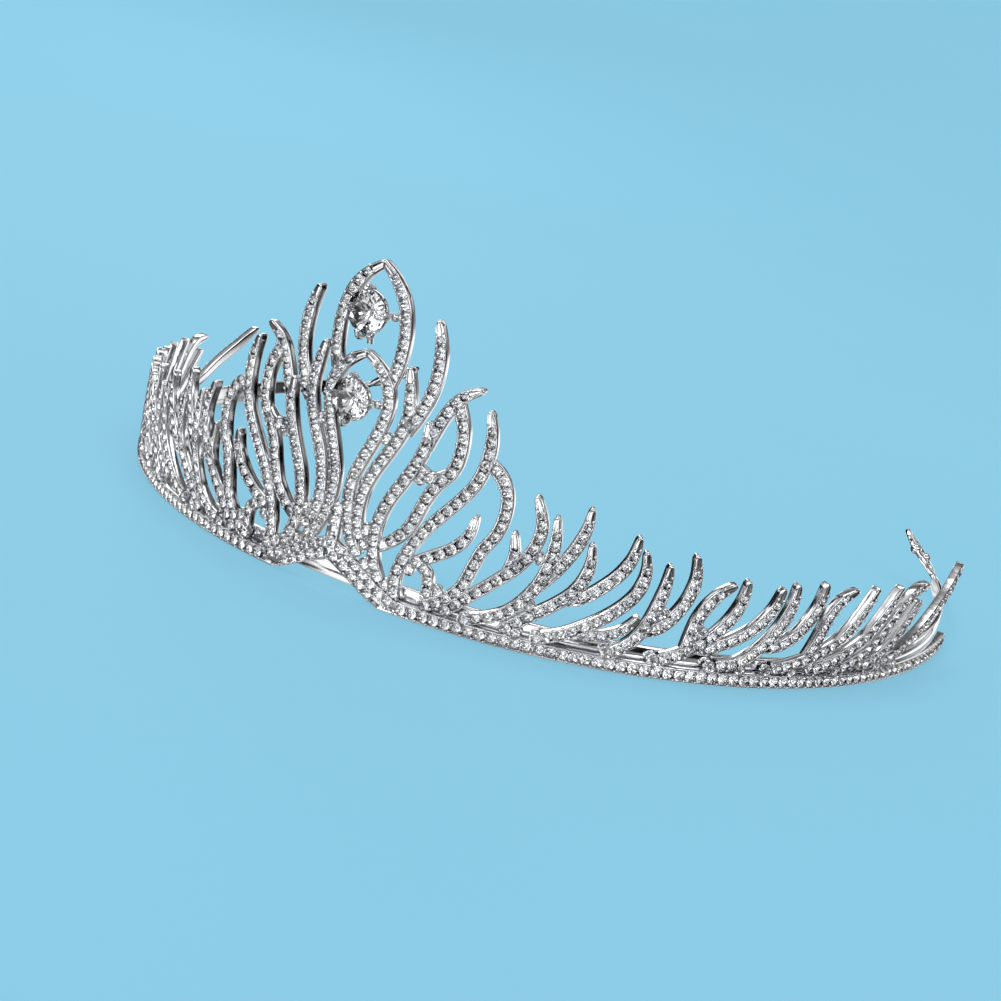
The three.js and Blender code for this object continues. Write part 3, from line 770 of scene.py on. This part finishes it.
for side, hand in SIDES:
    mesh = Mesh()
    rings = []
    point = EYELET_WIRE * 1.8
    steps = [(t, 1) for t in np.linspace(0, 1, 33)] + [(t, -1) for t in np.linspace(1, 0, 33)[1:-1]]
    for t, flank in steps:
        ox, oy = pointed(EYELET_WIDTH / 2, 0, EYELET_LENGTH, t)
        ix, iy = pointed(EYELET_WIDTH / 2 - EYELET_WIRE, point, EYELET_LENGTH - point, t)
        outer, inner = np.array([flank * ox, oy]), np.array([flank * ix, iy])
        ring = []
        for share, depth in ((0.22, 0.0), (0.78, 0.0), (0.95, 0.10), (1.0, 0.25), (1.0, 0.75), (0.95, 0.90),
                             (0.78, 1.0), (0.22, 1.0), (0.05, 0.90), (0.0, 0.75), (0.0, 0.25), (0.05, 0.10)):
            spot = inner + (outer - inner) * share
            ring.append((spot[0], spot[1], depth * EYELET_WIRE))
        rings.append(turned(ring, hand))
    mesh.loft(rings, closed=True)
    for flank in (-1, 1):
        centre = (flank * (EYELET_WIDTH / 2 - EYELET_WIRE / 2), EYELET_LENGTH / 2, EYELET_WIRE / 2)
        mesh.add(turned(BALL_VERTS * EYELET_BEAD + np.array(centre), hand), BALL_FACES)
    strap = []
    for s in (BAND_END - 0.6, BAND_END + 0.1):
        strap.append(wall(hand * s, BAND_LIFT + half_h + 0.6 * band_outline[:, 0],
                          middle + 0.9 * band_outline[:, 1]))
    for y, wide, deep in STRAP:
        strap.append(turned(np.stack([-hand * wide * band_outline[:, 0], np.full(len(band_outline), y),
                                      EYELET_WIRE / 2 + deep * band_outline[:, 1]], axis=1), hand))
    mesh.loft(strap)
    mesh.build(f"eyelet_{side}_ring", [PLATED], f"eyelet_{side}", "plated_metal")

# ------------------------------------------------------------------ the two large stones


def facing(points, height):
    """Points with x across, y up and z towards the front, in mm, about the middle of a large stone."""
    p = np.asarray(points, float).reshape(-1, 3)
    return np.stack([p[:, 0], WALL_Y - STONE_FORWARD - p[:, 2], height + p[:, 1]], axis=1) * MM


def tube(mesh, path, radii, height, sides=12):
    """A round tube along a path of (x, y, z) points in the stone's own frame."""
    path = np.array(path, float)
    rings = []
    for k, (centre, radius) in enumerate(zip(path, radii)):
        way = path[min(k + 1, len(path) - 1)] - path[max(k - 1, 0)]
        way /= np.linalg.norm(way)
        side_axis = np.cross(way, [0, 0, 1.0] if abs(way[2]) < 0.9 else [0, 1.0, 0])
        side_axis /= np.linalg.norm(side_axis)
        other = np.cross(way, side_axis)
        ring = [centre + radius * (math.cos(a) * side_axis + math.sin(a) * other)
                for a in np.linspace(0, 2 * math.pi, sides, endpoint=False)]
        rings.append(facing(ring, height))
    mesh.loft(rings)


BIG = brilliant(STONE_RADIUS, STONE_DEPTH * CROWN_SHARE, STONE_DEPTH * PAVILION_SHARE, 0.50)
# Profiles as (distance from the stone's axis, place towards the front), with the radii along a prong.
CUP_PROFILE = [(1.2, CUP_BACK), (1.75, CUP_BACK), (1.95, CUP_BACK + 0.08), (2.1, CUP_BACK + 0.28),
               (CUP_RADIUS - 0.08, -1.12), (CUP_RADIUS, -0.95), (CUP_RADIUS, -0.72),
               (CUP_RADIUS - 0.08, -0.61), (CUP_RADIUS - 0.24, -0.60), (CUP_RADIUS - 0.34, -0.68),
               (1.32, -2.08), (1.2, -2.25)]
PRONG_PATH = [(3.1, -1.15), (3.5, -0.98), (3.85, -0.55), (3.98, 0.1), (3.96, 0.8), (3.78, 1.22), (3.4, 1.42),
              (3.0, 1.42)]
PRONG_RADII = [0.30, 0.40, 0.44, 0.44, 0.43, 0.42, 0.40, 0.3]
# Stalks as (degrees clockwise from straight up, distance from the stone's axis to the stalk's end).
for name, stalks in (("upper", ((90, 4.9), (270, 4.9), (180, 5.2))), ("lower", ((90, 4.6), (270, 4.6)))):
    node_height = sum(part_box(f"{name}_stone"), Vector()).z / 2 / MM
    verts, faces, slots = BIG
    mesh = Mesh()
    mesh.add(facing(verts @ np.array(Matrix.Rotation(0.2, 3, "Z")).T, node_height), faces, slots)
    mesh.build(f"{name}_stone_brilliant", [CLEAR, FOIL], f"{name}_stone", "crystal", smooth=0)
    mesh = Mesh()
    rings = []
    for a in np.linspace(0, 2 * math.pi, 56, endpoint=False):
        rings.append(facing([(radius * math.cos(a), radius * math.sin(a), level)
                             for radius, level in CUP_PROFILE], node_height))
    mesh.loft(rings, closed=True)
    for degrees in (0, 90, 180, 270):
        x, y = math.sin(math.radians(degrees)), math.cos(math.radians(degrees))
        tube(mesh, [(x * r, y * r, v) for r, v in PRONG_PATH], PRONG_RADII, node_height)
        mesh.add(facing(BALL_VERTS * 0.52 + np.array([x * 3.05, y * 3.05, 1.45]), node_height), BALL_FACES)
    for degrees, reach in stalks:
        x, y = math.sin(math.radians(degrees)), math.cos(math.radians(degrees))
        tube(mesh, [(x * r, y * r, v) for r, v in ((1.7, -2.5), (2.8, -2.5), (3.8, -2.6), (reach, -2.8))],
             [0.5, 0.48, 0.46, 0.5], node_height)
        mesh.add(facing(BALL_VERTS * 0.72 + np.array([x * 3.9, y * 3.9, -2.4]), node_height), BALL_FACES)
    mesh.build(f"{name}_setting_cup", [PLATED], f"{name}_setting", "plated_metal")

# ------------------------------------------------------------------ floor, light and camera


def stage_material(name, colour, glow):
    """Matt paper in one pale colour, part of which glows so that the far side is as bright as the near."""
    material, nodes, links, shader, coords = node_material(name)
    grain = noise(nodes, links, coords, 3.0, 3.0)
    shade = ramp(nodes, links, grain.outputs["Fac"],
                 [(0.3, tuple(c * 0.985 for c in colour)), (0.7, colour)])
    links.new(shade.outputs["Color"], shader.inputs["Base Color"])
    links.new(shade.outputs["Color"], shader.inputs["Emission Color"])
    shader.inputs["Emission Strength"].default_value = glow
    shader.inputs["Roughness"].default_value = 0.8
    shader.inputs["Specular IOR Level"].default_value = 0.1
    return material


# A flat disc that rises into a wide bowl, as (radius, height) in metres.
profile = [(0.4, 0.0)] + [(0.4 + 2.1 * k / 24, 1.8 * (k / 24)**3) for k in range(1, 25)]
steps = 72
verts = [(0, 0, FLOOR_LEVEL * MM)]
for radius, level in profile:
    verts += [(radius * math.cos(2 * math.pi * k / steps), radius * math.sin(2 * math.pi * k / steps),
               level + FLOOR_LEVEL * MM) for k in range(steps)]
faces = [(0, 1 + k, 1 + (k + 1) % steps) for k in range(steps)]
for row in range(len(profile) - 1):
    a, b = 1 + row * steps, 1 + (row + 1) * steps
    faces += [(a + k, b + k, b + (k + 1) % steps, a + (k + 1) % steps) for k in range(steps)]
floor_data = bpy.data.meshes.new("floor")
floor_data.from_pydata(verts, [], faces)
floor_data.materials.append(stage_material("pale_floor", (0.094, 0.206, 0.266), 2.15))
floor_data.polygons.foreach_set("use_smooth", [True] * len(floor_data.polygons))
floor = bpy.data.objects.new("floor", floor_data)
bpy.context.scene.collection.objects.link(floor)
floor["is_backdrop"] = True
floor.visible_glossy = False
floor.visible_transmission = False


def area(name, place, target, size, watts):
    """A rectangular light at a place, aimed at a target, in metres."""
    light = bpy.data.lights.new(name, "AREA")
    light.shape, light.size, light.size_y, light.energy = "RECTANGLE", size[0], size[1], watts
    lamp = bpy.data.objects.new(name, light)
    bpy.context.scene.collection.objects.link(lamp)
    lamp.location = place
    lamp.rotation_mode = "QUATERNION"
    lamp.rotation_quaternion = (Vector(target) - Vector(place)).to_track_quat("-Z", "Y")


area("key", (-0.55, -0.75, 0.95), (0, 0, 0.02), (0.55, 0.4), 3.2)
area("fill", (0.95, -0.5, 0.55), (0, 0, 0.02), (0.35, 0.5), 1.2)
area("top", (0.0, 0.22, 1.1), (0, 0, 0.0), (0.9, 0.22), 2.2)
area("rim", (-0.7, 0.75, 0.5), (0, 0, 0.02), (0.3, 0.4), 1.2)

world = bpy.data.worlds.new("studio")
world.use_nodes = True
bpy.context.scene.world = world
nodes, links = world.node_tree.nodes, world.node_tree.links
coords = nodes.new("ShaderNodeTexCoord")
split = nodes.new("ShaderNodeSeparateXYZ")
links.new(coords.outputs["Generated"], split.inputs["Vector"])


def position(axis):
    """One coordinate of the direction, from -1..1 to 0..1."""
    node = nodes.new("ShaderNodeMapRange")
    node.inputs["From Min"].default_value, node.inputs["From Max"].default_value = -1.0, 1.0
    links.new(split.outputs[axis], node.inputs["Value"])
    return node.outputs["Result"]


def greys(source, *stops):
    return ramp(nodes, links, source, [(at, (value,) * 3) for at, value in stops]).outputs["Color"]


def combine(operation, a, b):
    node = nodes.new("ShaderNodeVectorMath")
    node.operation = operation
    links.new(a, node.inputs[0])
    links.new(b, node.inputs[1])
    return node.outputs["Vector"]


# A studio for the metal to mirror: bright and dark bands from below to above, a dark stretch behind, dark
# flanks, and dark flags in between.
sky = greys(position("Z"), (0.0, 0.35), (0.22, 0.45), (0.34, 1.0), (0.43, 0.95), (0.50, 0.25),
            (0.56, 0.12), (0.65, 0.8), (0.76, 1.0), (0.88, 0.22), (1.0, 0.3))
front = greys(position("Y"), (0.60, 1.0), (0.74, 0.18), (0.88, 0.3), (1.0, 0.7))
flanks = greys(position("X"), (0.0, 0.06), (0.17, 0.08), (0.26, 1.0), (0.72, 1.0), (0.84, 0.12))
overhead = greys(position("Z"), (0.58, 0.0), (0.72, 1.0))
patch = nodes.new("ShaderNodeTexNoise")
patch.inputs["Scale"].default_value, patch.inputs["Detail"].default_value = 3.4, 2.0
links.new(coords.outputs["Generated"], patch.inputs["Vector"])
flags = greys(patch.outputs["Fac"], (0.45, 0.02), (0.50, 1.75))
room = combine("MULTIPLY", sky, front)
room = combine("MULTIPLY", room, flags)
room = combine("MULTIPLY", room, combine("MAXIMUM", flanks, overhead))
links.new(room, nodes["Background"].inputs["Color"])
nodes["Background"].inputs["Strength"].default_value = 1.3

AZIMUTH, ELEVATION, ROLL = 25.63, 15.6, 12.62
camera_data = bpy.data.cameras.new("camera")
camera_data.sensor_width, camera_data.lens = 36.0, 55.4
camera_data.clip_start, camera_data.clip_end = 0.01, 20.0
camera = bpy.data.objects.new("camera", camera_data)
bpy.context.scene.collection.objects.link(camera)
bpy.context.scene.camera = camera
azimuth, elevation = math.radians(AZIMUTH), math.radians(ELEVATION)
to_camera = Vector((math.sin(azimuth) * math.cos(elevation), -math.cos(azimuth) * math.cos(elevation),
                    math.sin(elevation)))
turn = (-to_camera).to_track_quat("-Z", "Y").to_matrix() @ Matrix.Rotation(math.radians(ROLL), 3, "Z")
camera.location = Vector((124.7, WALL_Y - 202.8, 86.7)) * MM
camera.rotation_mode = "QUATERNION"
camera.rotation_quaternion = turn.to_quaternion()

bpy.context.scene.view_settings.view_transform = "Standard"

low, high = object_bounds()
